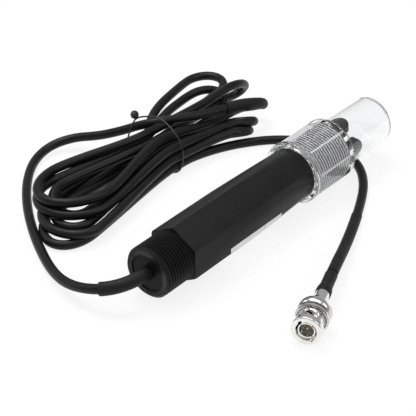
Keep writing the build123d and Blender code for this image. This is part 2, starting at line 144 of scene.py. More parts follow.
class Shader:
    """Node tree that is filled node by node."""

    def __init__(self, tree: bpy.types.NodeTree) -> None:
        """Start from an empty tree."""
        self.tree = tree
        self.tree.nodes.clear()

    def node(
        self, kind: str, settings: dict | None = None, inputs: dict | None = None, output: int | str = 0
    ) -> Socket | None:
        """Add a node.

        Args:
            kind: The node's type.
            settings: Properties to set first; "stops" holds a ramp's (place, grey) pairs.
            inputs: Values or links by the socket's name or number.
            output: Name or number of the output to hand back.

        Returns:
            The chosen output, or None where the node has none.
        """
        made = self.tree.nodes.new(kind)
        for name, value in (settings or {}).items():
            if name == "stops":
                self._set_stops(made.color_ramp, value)
            else:
                setattr(made, name, value)
        for name, value in (inputs or {}).items():
            if isinstance(value, Socket):
                self.tree.links.new(value.socket, made.inputs[name])
            else:
                made.inputs[name].default_value = value
        return Socket(self, made.outputs[output]) if made.outputs else None

    def _set_stops(self, ramp: bpy.types.ColorRamp, stops: Stops) -> None:
        """Give a ramp its grey stops.

        Args:
            ramp: The ramp.
            stops: Place and grey of each stop.
        """
        while len(ramp.elements) < len(stops):
            ramp.elements.new(1.0)
        for element, (place, grey) in zip(ramp.elements, stops):
            element.position = place
            element.color = (grey, grey, grey, 1.0)

    def ramp(self, share: Socket, stops: Stops) -> Socket:
        """Spread a value between grey stops."""
        return self.node("ShaderNodeValToRGB", {"stops": stops}, {"Fac": share})

    def mix(self, share: Socket, first: Colour | Socket, second: Colour | Socket) -> Socket:
        """Blend two colours.

        Args:
            share: Share of the second colour, between 0 and 1.
            first: First colour.
            second: Second colour.

        Returns:
            The blended colour.
        """
        first, second = (end if isinstance(end, Socket) else (*end, 1.0) for end in (first, second))
        inputs = {MIX_SHARE: share, MIX_FIRST: first, MIX_SECOND: second}
        return self.node("ShaderNodeMix", {"data_type": "RGBA"}, inputs, MIX_RESULT)

    def blend(self, share: Socket, first: Socket, second: Socket) -> Socket:
        """Blend two surfaces by a share between 0 and 1."""
        return self.node("ShaderNodeMixShader", {}, {0: share, 1: first, 2: second})

    def bump(self, height: Socket, depth_mm: float) -> Socket:
        """Normal of a surface with relief of a given depth."""
        inputs = {"Strength": 1.0, "Distance": depth_mm * MM, "Height": height}
        return self.node("ShaderNodeBump", {}, inputs)

    def mark(self, name: str) -> Socket:
        """Value of an attribute that a piece may carry, 0 on the others."""
        return self.node("ShaderNodeAttribute", {"attribute_name": name}, output="Fac")

    def noise(self, size_mm: float, detail: float) -> Socket:
        """Add noise over the object's own coordinates.

        Args:
            size_mm: Size of its features.
            detail: Octaves of finer features.

        Returns:
            The noise, between 0 and 1.
        """
        place = self.node("ShaderNodeTexCoord", output="Object")
        scale = 1 / (size_mm * MM)
        return self.node("ShaderNodeTexNoise", {}, {"Vector": place, "Scale": scale, "Detail": detail})


def new_material(name: str) -> tuple[bpy.types.Material, Shader]:
    """Make an empty material.

    Args:
        name: The material's name.

    Returns:
        The material and its shader.
    """
    material = bpy.data.materials.new(name)
    material.use_nodes = True
    return material, Shader(material.node_tree)


@dataclass(frozen=True)
class Finish:
    """Opaque surface with a mottled colour, uneven gloss and a fine grain, with painted shade where a piece
    is marked.
    """

    name: str
    low: Colour
    high: Colour
    mottle_mm: float
    rough: tuple[float, float]
    grain_mm: float
    grain_height_mm: float
    metallic: float = 0.0
    specular: float = 0.5
    # Colour of the painted shade where a piece is marked
    shade: Colour = (0.02, 0.019, 0.017)
    mottle_stops: Stops = ((0.3, 0.0), (0.7, 1.0))
    mottle_detail: float = 3.0
    grain_detail: float = 2.0

    def material(self) -> bpy.types.Material:
        """Make the finish's material.

        Returns:
            The material.
        """
        material, shader = new_material(self.name)
        mottle = shader.noise(self.mottle_mm, self.mottle_detail)
        plain = shader.mix(shader.ramp(mottle, self.mottle_stops), self.low, self.high)
        grain = shader.noise(self.grain_mm, self.grain_detail)
        low, high = self.rough
        surface = shader.node(
            "ShaderNodeBsdfPrincipled",
            {},
            {
                "Base Color": shader.mix(shader.mark(PAINTED_SHADE), plain, self.shade),
                "Roughness": low + mottle * (high - low),
                "Metallic": self.metallic,
                "Specular IOR Level": self.specular,
                "Normal": shader.bump(grain, self.grain_height_mm),
            },
        )
        shader.node("ShaderNodeOutputMaterial", {}, {"Surface": surface})
        return material


@dataclass(frozen=True)
class ClearFinish:
    """Clear moulded or blown surface with faint flow marks, and a white matte painted highlight where a
    piece is marked.
    """

    name: str
    low: Colour
    high: Colour
    ior: float
    rough: tuple[float, float]
    flow_mm: float
    flow_height_mm: float
    flow_detail: float = 2.0
    # White of the painted highlight where a piece is marked
    haze: Colour = (0.86, 0.86, 0.88)
    painted_highlight_stops: Stops = ((0.35, 0.0), (0.6, 1.0))

    def material(self) -> bpy.types.Material:
        """Make the finish's material.

        Returns:
            The material.
        """
        material, shader = new_material(self.name)
        flow = shader.noise(self.flow_mm, self.flow_detail)
        low, high = self.rough
        clear = shader.node(
            "ShaderNodeBsdfPrincipled",
            {},
            {
                "Base Color": shader.mix(flow, self.low, self.high),
                "Roughness": low + flow * (high - low),
                "IOR": self.ior,
                "Transmission Weight": 1.0,
                "Normal": shader.bump(flow, self.flow_height_mm),
            },
        )
        # Painted highlight: a white matte surface takes the place of the clear one where a piece is marked
        painted_white = shader.node("ShaderNodeBsdfDiffuse", {}, {"Color": (*self.haze, 1.0)})
        surface = shader.blend(shader.ramp(shader.mark(PAINTED_HIGHLIGHT), self.painted_highlight_stops), clear, painted_white)
        shader.node("ShaderNodeOutputMaterial", {}, {"Surface": surface})
        return material


class Slot(Enum):
    """Material slots of the record, each with its finish."""

    BLACK_MOULDING = Finish(
        "black_moulding", low=(0.0065, 0.0065, 0.007), high=(0.009, 0.009, 0.0098), mottle_mm=9.0,
        rough=(0.36, 0.48), grain_mm=0.35, grain_height_mm=0.012, specular=0.19,
    )
    GLASS = ClearFinish(
        "glass", low=(0.97, 0.99, 0.99), high=(0.99, 1.0, 1.0), ior=1.5, rough=(0.0, 0.01),
        flow_mm=12.0, flow_height_mm=0.002,
    )
    LABEL_WHITE = Finish(
        "label_white", low=(0.80, 0.80, 0.80), high=(0.86, 0.86, 0.85), mottle_mm=4.0,
        rough=(0.45, 0.6), grain_mm=0.2, grain_height_mm=0.004,
    )
    SILVER_WIRE = Finish(
        "silver_wire", low=(0.6, 0.59, 0.57), high=(0.75, 0.74, 0.72), mottle_mm=2.0,
        rough=(0.2, 0.4), grain_mm=0.2, grain_height_mm=0.004, metallic=1.0,
    )
    LEAD_INSULATION = Finish(
        "lead_insulation", low=(0.33, 0.33, 0.32), high=(0.42, 0.42, 0.41), mottle_mm=2.0,
        rough=(0.35, 0.5), grain_mm=0.2, grain_height_mm=0.004,
    )
    BLACK_RUBBER = Finish(
        "black_rubber", low=(0.007, 0.007, 0.007), high=(0.011, 0.011, 0.011), mottle_mm=3.0,
        rough=(0.5, 0.7), grain_mm=0.2, grain_height_mm=0.01, specular=0.25,
    )
    POROUS_WHITE = Finish(
        "porous_white", low=(0.62, 0.60, 0.56), high=(0.80, 0.78, 0.74), mottle_mm=0.6,
        rough=(0.7, 0.9), grain_mm=0.25, grain_height_mm=0.05,
    )
    POTTING = Finish(
        "potting", low=(0.003, 0.003, 0.0034), high=(0.005, 0.005, 0.0055), mottle_mm=5.0,
        rough=(0.3, 0.45), grain_mm=2.0, grain_height_mm=0.05, specular=0.1,
    )
    CLEAR_CAP = ClearFinish(
        "clear_cap", low=(0.975, 0.98, 0.985), high=(0.99, 0.992, 0.995), ior=1.49, rough=(0.0, 0.03),
        flow_mm=9.0, flow_height_mm=0.004,
    )
    SHRINK_TUBE = Finish(
        "shrink_tube", low=(0.006, 0.006, 0.0065), high=(0.009, 0.009, 0.0095), mottle_mm=3.0,
        rough=(0.5, 0.62), grain_mm=0.3, grain_height_mm=0.015, specular=0.25,
    )
    NICKEL = Finish(
        "nickel", low=(0.80, 0.785, 0.75), high=(0.93, 0.92, 0.90), mottle_mm=3.0,
        rough=(0.1, 0.22), grain_mm=0.25, grain_height_mm=0.0015, metallic=1.0,
    )
    GOLD = Finish(
        "gold", low=(0.76, 0.52, 0.18), high=(0.85, 0.64, 0.28), mottle_mm=1.0,
        rough=(0.18, 0.3), grain_mm=0.2, grain_height_mm=0.002, metallic=1.0,
    )
    STEEL = Finish(
        "steel", low=(0.5, 0.5, 0.5), high=(0.62, 0.62, 0.61), mottle_mm=1.5,
        rough=(0.25, 0.4), grain_mm=0.2, grain_height_mm=0.003, metallic=1.0,
    )
    CABLE_JACKET = Finish(
        "cable_jacket", low=(0.0042, 0.0042, 0.0045), high=(0.0066, 0.0066, 0.007), mottle_mm=14.0,
        rough=(0.36, 0.46), grain_mm=0.8, grain_height_mm=0.012, specular=0.24,
    )
    TIE = Finish(
        "tie", low=(0.012, 0.012, 0.012), high=(0.02, 0.02, 0.02), mottle_mm=2.0,
        rough=(0.3, 0.45), grain_mm=0.4, grain_height_mm=0.01,
    )

    @property
    def slot(self) -> str:
        """Name of the slot in the record."""
        return self.value.name

    @cached_property
    def material(self) -> bpy.types.Material:
        """Material of the slot, made once."""
        return self.value.material()


class Body(str, Enum):
    """Bodies of the frame that pieces ride on."""

    ROOT = "root"
    CAP = "cap"
    NUT = "nut"


def place_on_mount(record: dict, mount: str, along: float, forward: float) -> Matrix:
    """Work out where a piece's own frame lies from a mount on its X axis.

    Args:
        record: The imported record.
        mount: Name of the mount.
        along: Place of the mount on the piece's own X axis, in millimetres.
        forward: 1 if the mount points along the piece's X axis, -1 if against it.

    Returns:
        Matrix from the piece's millimetres to the frame's metres.
    """
    found = next(m for m in record["mounts"] if m["name"] == mount)
    x_axis = Vector(found["axis"]).normalized() * forward
    z_axis = (Vector((0, 0, 1)) - x_axis * x_axis.z).normalized()
    y_axis = z_axis.cross(x_axis)
    turn = Matrix((x_axis, y_axis, z_axis)).transposed().to_4x4()
    origin = Vector(found["pos_m"]) - x_axis * along * MM
    return Matrix.Translation(origin) @ turn @ Matrix.Scale(MM, 4)


def lathe(outline: list[Corner], steps: int, closed: bool = True, phase: float = 0.0) -> BMesh:
    """Turn an outline about X.

    Args:
        outline: Corners as (place along X, radius), with a third value where a corner is rounded.
        steps: Facets round the turn.
        closed: True if the last corner joins the first.
        phase: Angle from Y towards Z at which the facets start, in radians.

    Returns:
        The turned mesh.
    """
    bm = bmesh.new()
    corners = [bm.verts.new((x, r * math.cos(phase), r * math.sin(phase))) for x, r, *_ in outline]
    followers = corners[1:] + corners[:1] if closed else corners[1:]
    for start, end in zip(corners, followers):
        bm.edges.new((start, end))
    for corner, (_, _, *rounding) in zip(corners, outline):
        for radius in rounding:
            bmesh.ops.bevel(
                bm, geom=[corner], offset=radius, offset_type="OFFSET", segments=ROUND_SEGMENTS, profile=0.5,
                affect="VERTICES", material=-1,
            )
    bmesh.ops.spin(
        bm, geom=bm.verts[:] + bm.edges[:], cent=(0, 0, 0), axis=(1, 0, 0), dvec=(0, 0, 0),
        angle=FULL_TURN, steps=steps, use_merge=True,
    )
    close_up(bm)
    return bm


def close_up(bm: BMesh) -> None:
    """Merge doubles, drop what collapsed and turn the faces outwards.

    Args:
        bm: The mesh.
    """
    bmesh.ops.remove_doubles(bm, verts=bm.verts[:], dist=MERGE_MM)
    bmesh.ops.dissolve_degenerate(bm, edges=bm.edges[:], dist=MERGE_MM)
    bmesh.ops.recalc_face_normals(bm, faces=bm.faces[:])


def cut(bm: BMesh, point: Point, normal: Point) -> list[BMEdge]:
    """Cut a mesh by a plane and drop what lies on the normal's side.

    Args:
        bm: The mesh.
        point: A point of the plane.
        normal: The plane's normal.

    Returns:
        Edges of the cut.
    """
    geometry = bm.verts[:] + bm.edges[:] + bm.faces[:]
    result = bmesh.ops.bisect_plane(
        bm, geom=geometry, dist=MERGE_MM, plane_co=point, plane_no=normal, clear_outer=True
    )
    return [item for item in result["geom_cut"] if isinstance(item, BMEdge)]


def add_into(target: BMesh, source: BMesh) -> None:
    """Join a mesh to another and free it.

    Args:
        target: The mesh that grows.
        source: The mesh that is joined to it.
    """
    mesh = bpy.data.meshes.new("joining")
    source.to_mesh(mesh)
    source.free()
    target.from_mesh(mesh)
    bpy.data.meshes.remove(mesh)


def radius_of(vert: BMVert) -> float:
    """Distance of a point from the X axis."""
    return math.hypot(vert.co.y, vert.co.z)


def draw_to(vert: BMVert, radius: float) -> None:
    """Move a point straight to a radius about X."""
    vert.co.yz = vert.co.yz * (radius / radius_of(vert))


def lay(data: bpy.types.ID, slot: Slot, body: Body, *nodes: str) -> bpy.types.Object:
    """Lay a mesh or a curve in place as a piece.

    Args:
        data: The mesh or curve, in metres, which gives the piece its name.
        slot: Slot that it takes its finish from.
        body: Body that it rides on.
        *nodes: Solids that it stands for.

    Returns:
        The piece.
    """
    data.materials.append(slot.material)
    piece = bpy.data.objects.new(data.name, data)
    bpy.context.scene.collection.objects.link(piece)
    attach(piece, body.value)
    if nodes:
        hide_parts(*nodes)
    LOG.info("%s: %s, on %s", data.name, slot.slot, body.value)
    return piece


def lay_mesh(
    name: str, bm: BMesh, place: Matrix, slot: Slot, body: Body, *nodes: str
) -> bpy.types.Object:
    """Lay a finished mesh in place as a piece.

    Args:
        name: The piece's name.
        bm: Its mesh, which is freed.
        place: Matrix from its own millimetres to metres.
        slot: Slot that it takes its finish from.
        body: Body that it rides on.
        *nodes: Solids that it stands for.

    Returns:
        The piece.
    """
    bmesh.ops.transform(bm, matrix=place, verts=bm.verts[:])
    mesh = bpy.data.meshes.new(name)
    bm.to_mesh(mesh)
    bm.free()
    mesh.shade_smooth()
    mesh.set_sharp_from_angle(angle=SMOOTH_LIMIT)
    return lay(mesh, slot, body, *nodes)


def in_metres(points: list[Point]) -> list[Vector]:
    """Points in metres from points in millimetres."""
    return [Vector(point) * MM for point in points]


def new_curve(name: str) -> bpy.types.Curve:
    """Make an empty curve in space.

    Args:
        name: The curve's name.

    Returns:
        The curve.
    """
    curve = bpy.data.curves.new(name, "CURVE")
    curve.dimensions = "3D"
    curve.resolution_u = CURVE_STEPS
    return curve


def add_spline(curve: bpy.types.Curve, kind: str, points: list[Vector]) -> bpy.types.Spline:
    """Add a spline to a curve.

    Args:
        curve: The curve.
        kind: The spline's type.
        points: Its points, in metres.

    Returns:
        The spline.
    """
    spline = curve.splines.new(kind)
    spline.points.add(len(points) - 1)
    for point, place in zip(spline.points, points):
        point.co = (*place, 1.0)
    return spline


def add_smooth_spline(curve: bpy.types.Curve, points: list[Vector], closed: bool = False) -> None:
    """Add a smooth spline to a curve.

    Args:
        curve: The curve.
        points: Its control points, in metres.
        closed: True if it runs back to its start.
    """
    spline = add_spline(curve, "NURBS", points)
    spline.order_u = SPLINE_ORDER
    spline.use_endpoint_u = not closed
    spline.use_cyclic_u = closed


def points_along(curve: bpy.types.Curve) -> list[Vector]:
    """Read the points along a curve that has no section yet.

    Args:
        curve: The curve.

    Returns:
        Its points, in metres.
    """
    holder = bpy.data.objects.new("line", curve)
    line = bpy.data.meshes.new_from_object(holder)
    points = [vert.co.copy() for vert in line.vertices]
    bpy.data.objects.remove(holder)
    bpy.data.meshes.remove(line)
    return points


def make_round(curve: bpy.types.Curve, radius: float, facets: int) -> None:
    """Give a curve a round section and closed ends.

    Args:
        curve: The curve.
        radius: Radius of the section, in millimetres.
        facets: Fineness of the section.
    """
    curve.bevel_depth = radius * MM
    curve.bevel_resolution = facets
    curve.use_fill_caps = True


def front_of(node: bpy.types.Object, place: Matrix, x: float) -> BMesh:
    """Copy what lies in front of a plane across X from a solid.

    Args:
        node: The solid.
        place: Matrix to metres from the own millimetres of what the solid belongs to.
        x: Place of the plane.

    Returns:
        The copy in those millimetres, merged and closed at the plane.
    """
    bm = bmesh.new()
    bm.from_mesh(node.data)
    bmesh.ops.transform(bm, matrix=place.inverted(), verts=bm.verts[:])
    bmesh.ops.remove_doubles(bm, verts=bm.verts[:], dist=MERGE_MM)
    root = cut(bm, (x, 0, 0), (-1, 0, 0))
    bmesh.ops.bridge_loops(bm, edges=root)
    bmesh.ops.recalc_face_normals(bm, faces=bm.faces[:])
    return bm


def rim(bm: BMesh, x: float) -> list[BMEdge]:
    """Find the open edges that lie in one plane across X.

    Args:
        bm: The mesh.
        x: Place of the plane.

    Returns:
        The edges.
    """
    return [
        edge for edge in bm.edges
        if edge.is_boundary and all(abs(vert.co.x - x) < MERGE_MM for vert in edge.verts)
    ]


@dataclass(frozen=True)
class ScrewForm:
    """Pipe thread of 14 turns to the inch, with flats on its crests and in its roots."""

    root_r: float = 12.185
    crest_r: float = 13.335
    pitch: float = INCH_MM / 14
    root_share: float = 0.14
    crest_share: float = 0.14
    steps: int = 96
    spare_turns: int = 3

    def profile(self) -> list[Corner]:
        """Draw one turn's outline from root to root.

        Returns:
            Corners as (place along X, radius).
        """
        flank = (1 - self.root_share - self.crest_share) / 2
        shares = [0.0, self.root_share, self.root_share + flank, 1 - flank, 1.0]
        radii = [self.root_r, self.root_r, self.crest_r, self.crest_r, self.root_r]
        return [(share * self.pitch, radius) for share, radius in zip(shares, radii)]

    def skin(self, start: float, end: float) -> BMesh:
        """Wind the thread's surface between two planes across X.

        Args:
            start: Place of the first plane.
            end: Place of the second plane.

        Returns:
            The surface, open at both planes.
        """
        bm = bmesh.new()
        turns = math.ceil((end - start) / self.pitch) + self.spare_turns
        left = start - self.spare_turns / 2 * self.pitch
        line = [bm.verts.new((left + x, 0.0, r)) for x, r in self.profile()]
        for first, second in zip(line, line[1:]):
            bm.edges.new((first, second))
        bmesh.ops.spin(
            bm, geom=bm.verts[:] + bm.edges[:], cent=(0, 0, 0), axis=(1, 0, 0),
            dvec=(self.pitch / self.steps, 0, 0), angle=FULL_TURN * turns, steps=self.steps * turns,
            use_merge=False,
        )
        bmesh.ops.remove_doubles(bm, verts=bm.verts[:], dist=MERGE_MM)
        cut(bm, (start, 0, 0), (-1, 0, 0))
        cut(bm, (end, 0, 0), (1, 0, 0))
        return bm


@dataclass(frozen=True)
class ThreadedEnd:
    """Threaded bar along X with a chamfer and a blind hole in its free end."""

    free_x: float
    buried_x: float
    hole_r: float
    hole_l: float
    chamfer: float = 1.0
    form: ScrewForm = ScrewForm()

    def solid(self) -> BMesh:
        """Make the bar.

        Returns:
            Its closed mesh.
        """
        bm = self.form.skin(min(self.free_x, self.buried_x), max(self.free_x, self.buried_x))
        self._trim(bm)
        bmesh.ops.edgeloop_fill(bm, edges=rim(bm, self.buried_x))
        self._bore(bm)
        close_up(bm)
        return bm

    def _trim(self, bm: BMesh) -> None:
        """Turn down the crests at the free end to its chamfer.

        Args:
            bm: Mesh of the bar.
        """
        for vert in bm.verts:
            limit = self.form.crest_r - self.chamfer + abs(vert.co.x - self.free_x)
            if radius_of(vert) > limit:
                draw_to(vert, limit)

    def _bore(self, bm: BMesh) -> None:
        """Close the free end with a flat ring round a blind hole.

        Args:
            bm: Mesh of the bar.
        """
        face = rim(bm, self.free_x)
        across = Matrix.Translation((self.free_x, 0, 0)) @ Matrix.Rotation(math.pi / 2, 4, "Y")
        circle = bmesh.ops.create_circle(
            bm, cap_ends=False, segments=self.form.steps, radius=self.hole_r, matrix=across
        )
        mouth = list({edge for vert in circle["verts"] for edge in vert.link_edges})
        bmesh.ops.bridge_loops(bm, edges=face + mouth)
        wall = bmesh.ops.extrude_edge_only(bm, edges=mouth)["geom"]
        foot = [item for item in wall if isinstance(item, BMVert)]
        inward = math.copysign(self.hole_l, self.buried_x - self.free_x)
        bmesh.ops.translate(bm, vec=(inward, 0, 0), verts=foot)
        bmesh.ops.edgeloop_fill(bm, edges=rim(bm, self.free_x + inward))


@dataclass
class Housing:
    """Moulded housing: two pipe threads, a hexagon that fades into a round front, and the tip guard."""

    rear_l: float = 18.7
    hex_sides: int = 6
    hex_af: float = 27.2
    hex_l: float = 43.3
    hex_chamfer: float = 0.6
    fade_l: float = 53.0
    front_r: float = 13.65
    front_thread_l: float = 25.4
    edge_round: float = 0.45
    edge_segments: int = 3
    edge_angle: float = math.radians(35)
    overshoot: float = 0.3
    bury: float = 0.2
    guard_gap: float = 0.05
    cable_hole_r: float = 9.5
    cable_hole_l: float = 0.9
    pocket_r: float = 8.6
    pocket_l: float = 1.0
    steps: int = 144

    @property
    def body_end(self) -> float:
        """Where the round front ends and its thread starts."""
        return self.rear_l + self.hex_l + self.fade_l

    @property
    def nose_x(self) -> float:
        """Where the front thread ends."""
        return self.body_end + self.front_thread_l

    def body(self) -> BMesh:
        """Make the hexagon whose corners fade into the round front.

        Returns:
            Its closed mesh.
        """
        corner = self.hex_af / math.sqrt(3)
        slope = (corner - self.front_r) / self.fade_l
        over = corner + self.overshoot
        fade_x = self.rear_l + self.hex_l - self.overshoot / slope
        outline = [
            (self.rear_l, 0.0),
            (self.rear_l, corner - self.hex_chamfer),
            (self.rear_l + self.hex_chamfer + self.overshoot, over),
            (fade_x, over),
            (self.body_end, self.front_r),
            (self.body_end, 0.0),
        ]
        bm = lathe(outline, self.steps)
        for side in range(self.hex_sides):
            angle = FULL_TURN / self.hex_sides * side
            normal = Vector((0, math.cos(angle), math.sin(angle)))
            flat = cut(bm, normal * self.hex_af / 2, normal)
            bmesh.ops.edgeloop_fill(bm, edges=flat)
        close_up(bm)
        inner = [edge for edge in bm.edges if edge.is_manifold]
        sharp = [edge for edge in inner if edge.calc_face_angle() > self.edge_angle]
        bmesh.ops.bevel(
            bm, geom=sharp, offset=self.edge_round, offset_type="OFFSET", segments=self.edge_segments,
            profile=0.5, affect="EDGES", clamp_overlap=True, material=-1,
        )
        close_up(bm)
        return bm

    def build(self, frame: dict, place: Matrix) -> bpy.types.Object:
        """Make the housing and let it stand for its solid.

        Args:
            frame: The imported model.
            place: Place of the electrode.

        Returns:
            The housing.
        """
        bm = self.body()
        rear = ThreadedEnd(0.0, self.rear_l + self.bury, self.cable_hole_r, self.cable_hole_l)
        front = ThreadedEnd(self.nose_x, self.body_end - self.bury, self.pocket_r, self.pocket_l)
        add_into(bm, rear.solid())
        add_into(bm, front.solid())
        add_into(bm, front_of(frame["nodes"]["housing"], place, self.nose_x + self.guard_gap))
        return lay_mesh("housing_shell", bm, place, Slot.BLACK_MOULDING, Body.ROOT, "housing")


@dataclass
class ScrewCap:
    """Clear cap: round lip, eight-sided threaded collar, and a closed round tube."""

    lip_x: float = 111.8
    lip_l: float = 2.4
    thread_x: float = 114.95
    seat_x: float = 141.6
    collar_end: float = 144.5
    tube_end: float = 184.5
    lip_r: float = 14.0
    seat_r: float = 13.0
    collar_r: float = 17.0
    flat_r: float = 15.85
    flat_count: int = 8
    flat_turn: float = math.radians(78)
    tube_r: float = 13.8
    tube_wall: float = 1.6
    end_wall: float = 1.8
    end_round: float = 3.6
    collar_round: float = 1.2
    lip_round: float = 1.0
    step: float = 0.3
    corner_painted_highlight: float = 0.5
    steps: int = 160
    screw: ScrewForm = ScrewForm(root_r=14.6, crest_r=13.5, root_share=0.06, crest_share=0.06)

    @property
    def flats(self) -> tuple[float, float]:
        """Where the collar's flats start and end."""
        return self.lip_x + self.lip_l + self.step, self.collar_end - self.collar_round - self.step

    def shell(self) -> BMesh:
        """Make the cap without the thread in its collar.

        Returns:
            Its mesh, open at both ends of that thread.
        """
        bore_r = self.tube_r - self.tube_wall
        start, end = self.flats
        outline = [
            (self.thread_x, self.lip_r),
            (self.lip_x, self.lip_r, self.lip_round / 2),
            (self.lip_x, self.collar_r, self.lip_round),
            (start - self.step, self.collar_r),
            (start, self.collar_r),
            (end, self.collar_r),
            (end + self.step, self.collar_r),
            (self.collar_end, self.collar_r, self.collar_round - self.step),
            (self.collar_end, self.tube_r, self.lip_round),
            (self.tube_end, self.tube_r, self.end_round),
            (self.tube_end, 0.0),
            (self.tube_end - self.end_wall, 0.0),
            (self.tube_end - self.end_wall, bore_r, self.end_round - self.tube_wall),
            (self.seat_x, bore_r),
            (self.seat_x, self.seat_r),
        ]
        facet = FULL_TURN / self.steps
        bm = lathe(outline, self.steps, closed=False, phase=self.flat_turn + facet / 2)
        self._mill(bm)
        return bm

    def _mill(self, bm: BMesh) -> None:
        """Draw the collar in to its flats, which leave a narrow land at each corner.

        Args:
            bm: Mesh of the cap.
        """
        start, end = self.flats
        side = FULL_TURN / self.flat_count
        for vert in bm.verts:
            outside = radius_of(vert) > self.collar_r - MERGE_MM
            if outside and start - MERGE_MM < vert.co.x < end + MERGE_MM:
                turn = (math.atan2(vert.co.z, vert.co.y) - self.flat_turn) % side - side / 2
                draw_to(vert, min(self.collar_r, self.flat_r / math.cos(turn)))

    def _paint_highlights(self, bm: BMesh) -> None:
        """Mark painted highlights: white matte bands on the crests of the thread and, at half strength, on
        the corners of the collar.

        Args:
            bm: Mesh of the cap.
        """
        layer = bm.verts.layers.float.new(PAINTED_HIGHLIGHT)
        start, end = self.flats
        side = FULL_TURN / self.flat_count
        facet = FULL_TURN / self.steps
        for vert in bm.verts:
            radius = radius_of(vert)
            turn = (math.atan2(vert.co.z, vert.co.y) - self.flat_turn + facet) % side
            inside = self.thread_x + MERGE_MM < vert.co.x < self.seat_x - MERGE_MM
            crest = inside and abs(radius - self.screw.crest_r) < MERGE_MM
            flats = start - MERGE_MM < vert.co.x < end + MERGE_MM
            corner = flats and radius > self.collar_r - self.step and turn < 2 * facet
            shoulder = radius > self.collar_r - self.step and abs(vert.co.x - end - self.step) < MERGE_MM
            if crest:
                vert[layer] = 1.0
            elif corner or shoulder:
                vert[layer] = self.corner_painted_highlight

    def build(self, place: Matrix) -> bpy.types.Object:
        """Make the cap and let it stand for its solid.

        Args:
            place: Place of the electrode.

        Returns:
            The cap.
        """
        bm = self.shell()
        add_into(bm, self.screw.skin(self.thread_x, self.seat_x))
        for x in (self.thread_x, self.seat_x):
            bmesh.ops.bridge_loops(bm, edges=rim(bm, x))
        close_up(bm)
        self._paint_highlights(bm)
        return lay_mesh("screw_cap", bm, place, Slot.CLEAR_CAP, Body.CAP, "protective_cap")


@dataclass
class CouplingNut:
    """Bayonet nut: knurled ring with a polished shoulder, and the slotted neck and rim of its solid."""

    ring_x: float = 29.0
    knurl_x: float = 29.9
    groove_x: float = 33.9
    shoulder_x: float = 35.3
    ring_end: float = 37.0
    ring_r: float = 8.1
    groove_depth: float = 0.9
    shoulder_chamfer: float = 0.9
    knurl_depth: float = 0.25
    knurl_ribs: int = 60
    knurl_painted_shade: float = 0.35
    bore_r: float = 6.1
    lip_bore_r: float = 4.75
    lip_l: float = 2.0
    edge: float = 0.5
    seam: float = 0.02

    def ring(self) -> BMesh:
        """Make the knurled ring from the nut's rear to its neck.

        Returns:
            Its closed mesh, marked for painted shade in its groove and, more lightly, in its knurl valleys.
        """
        groove_r = self.ring_r - self.groove_depth
        outline = [
            (self.ring_x, self.lip_bore_r),
            (self.ring_x, self.ring_r - self.edge),
            (self.ring_x + self.edge, self.ring_r - self.knurl_depth),
            (self.knurl_x, self.ring_r - self.knurl_depth),
            (self.knurl_x + self.knurl_depth, self.ring_r),
            (self.groove_x - self.knurl_depth, self.ring_r),
            (self.groove_x, groove_r),
            (self.shoulder_x, groove_r),
            (self.shoulder_x, self.ring_r),
            (self.ring_end - self.shoulder_chamfer, self.ring_r),
            (self.ring_end, self.ring_r - self.shoulder_chamfer),
            (self.ring_end, self.bore_r),
            (self.ring_x + self.lip_l, self.bore_r),
            (self.ring_x + self.lip_l, self.lip_bore_r),
        ]
        bm = lathe(outline, 2 * self.knurl_ribs)
        # Painted shade: the groove's floor is marked fully dark, the knurl's valleys partly dark
        layer = bm.verts.layers.float.new(PAINTED_SHADE)
        step = math.pi / self.knurl_ribs
        for vert in bm.verts:
            radius = radius_of(vert)
            column = round(math.atan2(vert.co.z, vert.co.y) / step)
            if abs(radius - groove_r) < MERGE_MM:
                vert[layer] = 1.0
            knurled = self.knurl_x < vert.co.x < self.groove_x and radius > self.ring_r - MERGE_MM
            if knurled and column % 2:
                draw_to(vert, radius - self.knurl_depth)
                vert[layer] = self.knurl_painted_shade
        return bm

    def build(self, frame: dict, place: Matrix) -> bpy.types.Object:
        """Make the nut and let it stand for its solid.

        Args:
            frame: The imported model.
            place: Place of the plug.

        Returns:
            The nut.
        """
        bm = front_of(frame["nodes"]["coupling_nut"], place, self.ring_end - self.seam)
        add_into(bm, self.ring())
        return lay_mesh("bayonet_nut", bm, place, Slot.NICKEL, Body.NUT, "coupling_nut")


@dataclass
class PlugBoot:
    """Shrunk boot on the plug's rear, tight on the cable and, past a soft step, on the ferrule."""

    cable_r: float = 2.6
    ferrule_r: float = 3.5
    wall: float = 0.5
    ferrule_wall: float = 0.28
    step_x: float = 10.4
    grip_x: float = 13.0
    end_x: float = 16.6
    step_round: float = 1.2
    edge_round: float = 0.2
    steps: int = 64

    def build(self, place: Matrix) -> bpy.types.Object:
        """Make the boot and let it stand for its solid.

        Args:
            place: Place of the plug.

        Returns:
            The boot.
        """
        outer_r = self.cable_r + self.wall
        grip_r = self.ferrule_r + self.ferrule_wall
        outline = [
            (0.0, self.cable_r),
            (self.step_x, self.cable_r),
            (self.grip_x, self.ferrule_r),
            (self.end_x, self.ferrule_r),
            (self.end_x, grip_r, self.edge_round),
            (self.grip_x, grip_r, self.step_round),
            (self.step_x, outer_r, self.step_round),
            (0.0, outer_r, self.edge_round),
        ]
        bm = lathe(outline, self.steps)
        return lay_mesh("shrunk_boot", bm, place, Slot.SHRINK_TUBE, Body.ROOT, "plug_boot")


